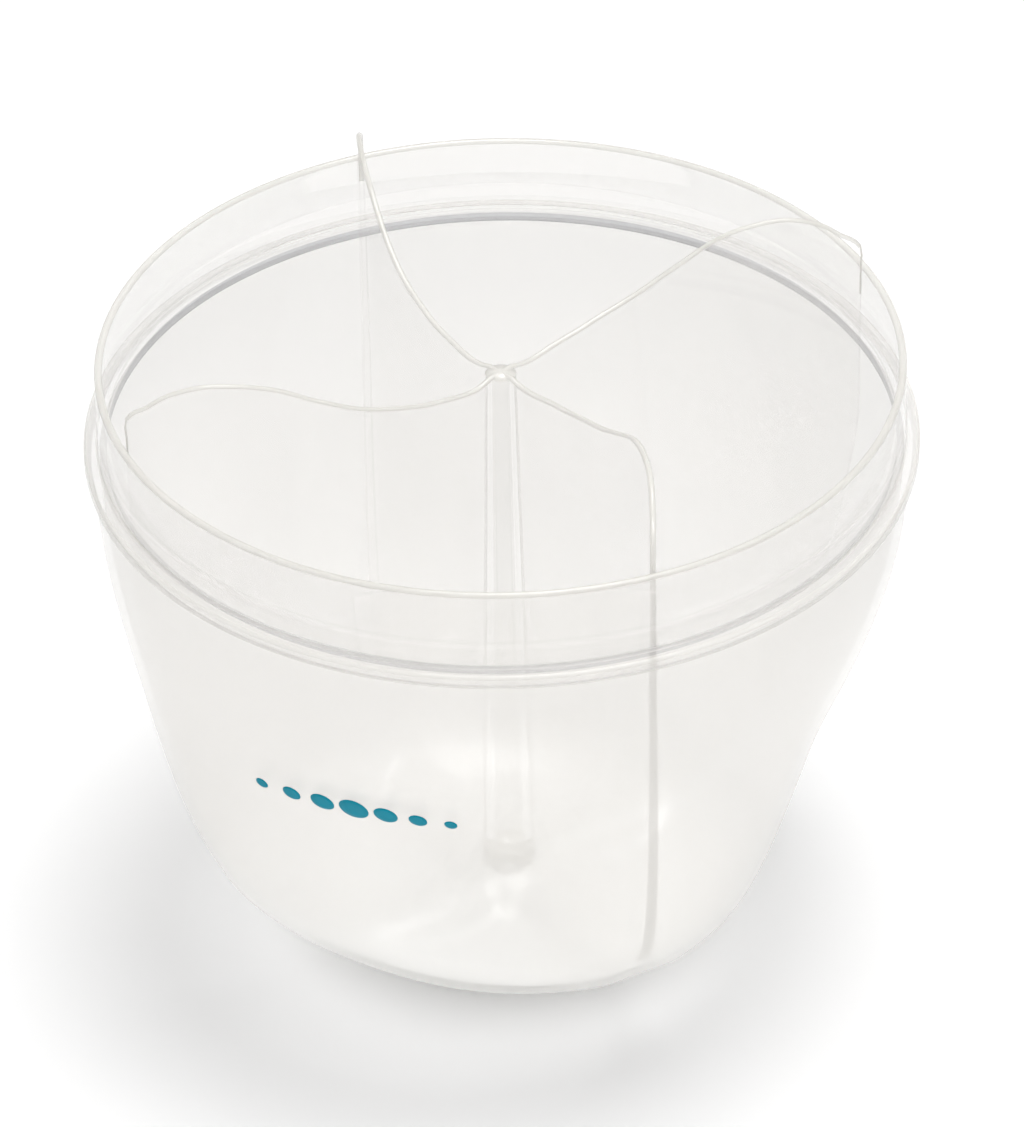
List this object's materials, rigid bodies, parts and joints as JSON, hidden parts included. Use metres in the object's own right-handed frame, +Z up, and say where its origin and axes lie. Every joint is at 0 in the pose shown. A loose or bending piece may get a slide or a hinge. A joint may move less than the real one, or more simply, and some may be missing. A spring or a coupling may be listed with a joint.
{
  "type": "formula dispenser",
  "caption": "Round milk powder cup with a plain lid collar and a lift-out divider whose bowed vanes part it into equal compartments.",
  "frame": {"origin": "centre of the plane the cup stands on", "axes": "+Z up along the cup's axis; +X along the chord of one divider vane"},
  "size_m": [0.1036, 0.1036, 0.0914],
  "materials": {
    "cup_plastic": "natural polypropylene, clear polished collar, satin translucent body",
    "divider_plastic": "natural polypropylene, slightly milky, semi-gloss"
  },
  "bodies": {
    "cup": {"cup": "cup_plastic"},
    "divider": {"divider": "divider_plastic"}
  },
  "joints": [
    {"name": "divider_lift", "type": "slide", "parent": "cup", "child": "divider", "axis": [0, 0, 1], "range_m": [0, 0.095]}
  ]
}
